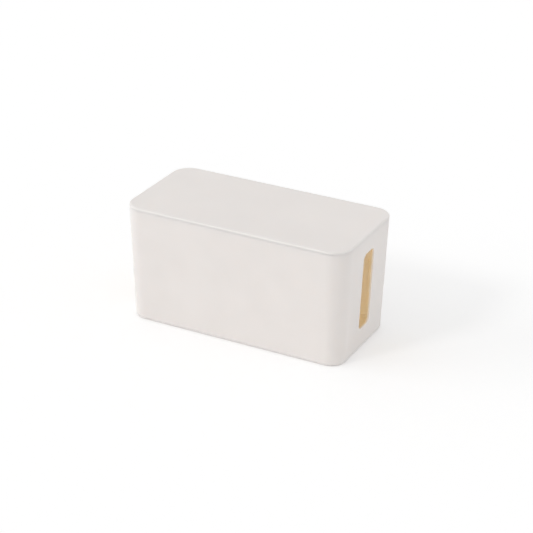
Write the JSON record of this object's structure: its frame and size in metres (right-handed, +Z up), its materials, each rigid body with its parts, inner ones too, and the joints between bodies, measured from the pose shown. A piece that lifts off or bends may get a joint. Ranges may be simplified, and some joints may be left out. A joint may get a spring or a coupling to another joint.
{
  "type": "cable management box",
  "caption": "Rectangular storage box with round upright corners, a tall cable slot in each end and a flush lift-off lid.",
  "frame": {"origin": "middle of the footprint, on the surface that the feet stand on", "axes": "+Z up, X along the box from slotted end to slotted end, -Y out of the long front face"},
  "size_m": [0.2348, 0.1148, 0.12],
  "materials": {
    "shell": "satin white injection moulding, fine moulded grain",
    "foot": "matt grey moulded rubber"
  },
  "bodies": {
    "base": {"tub": "shell", "foot_front_left": "foot", "foot_front_right": "foot", "foot_rear_left": "foot", "foot_rear_right": "foot"},
    "lid": {"lid": "shell"}
  },
  "joints": [
    {"name": "lid_lift", "type": "slide", "parent": "base", "child": "lid", "axis": [0, 0, 1], "range_m": [0, 0.12]}
  ]
}
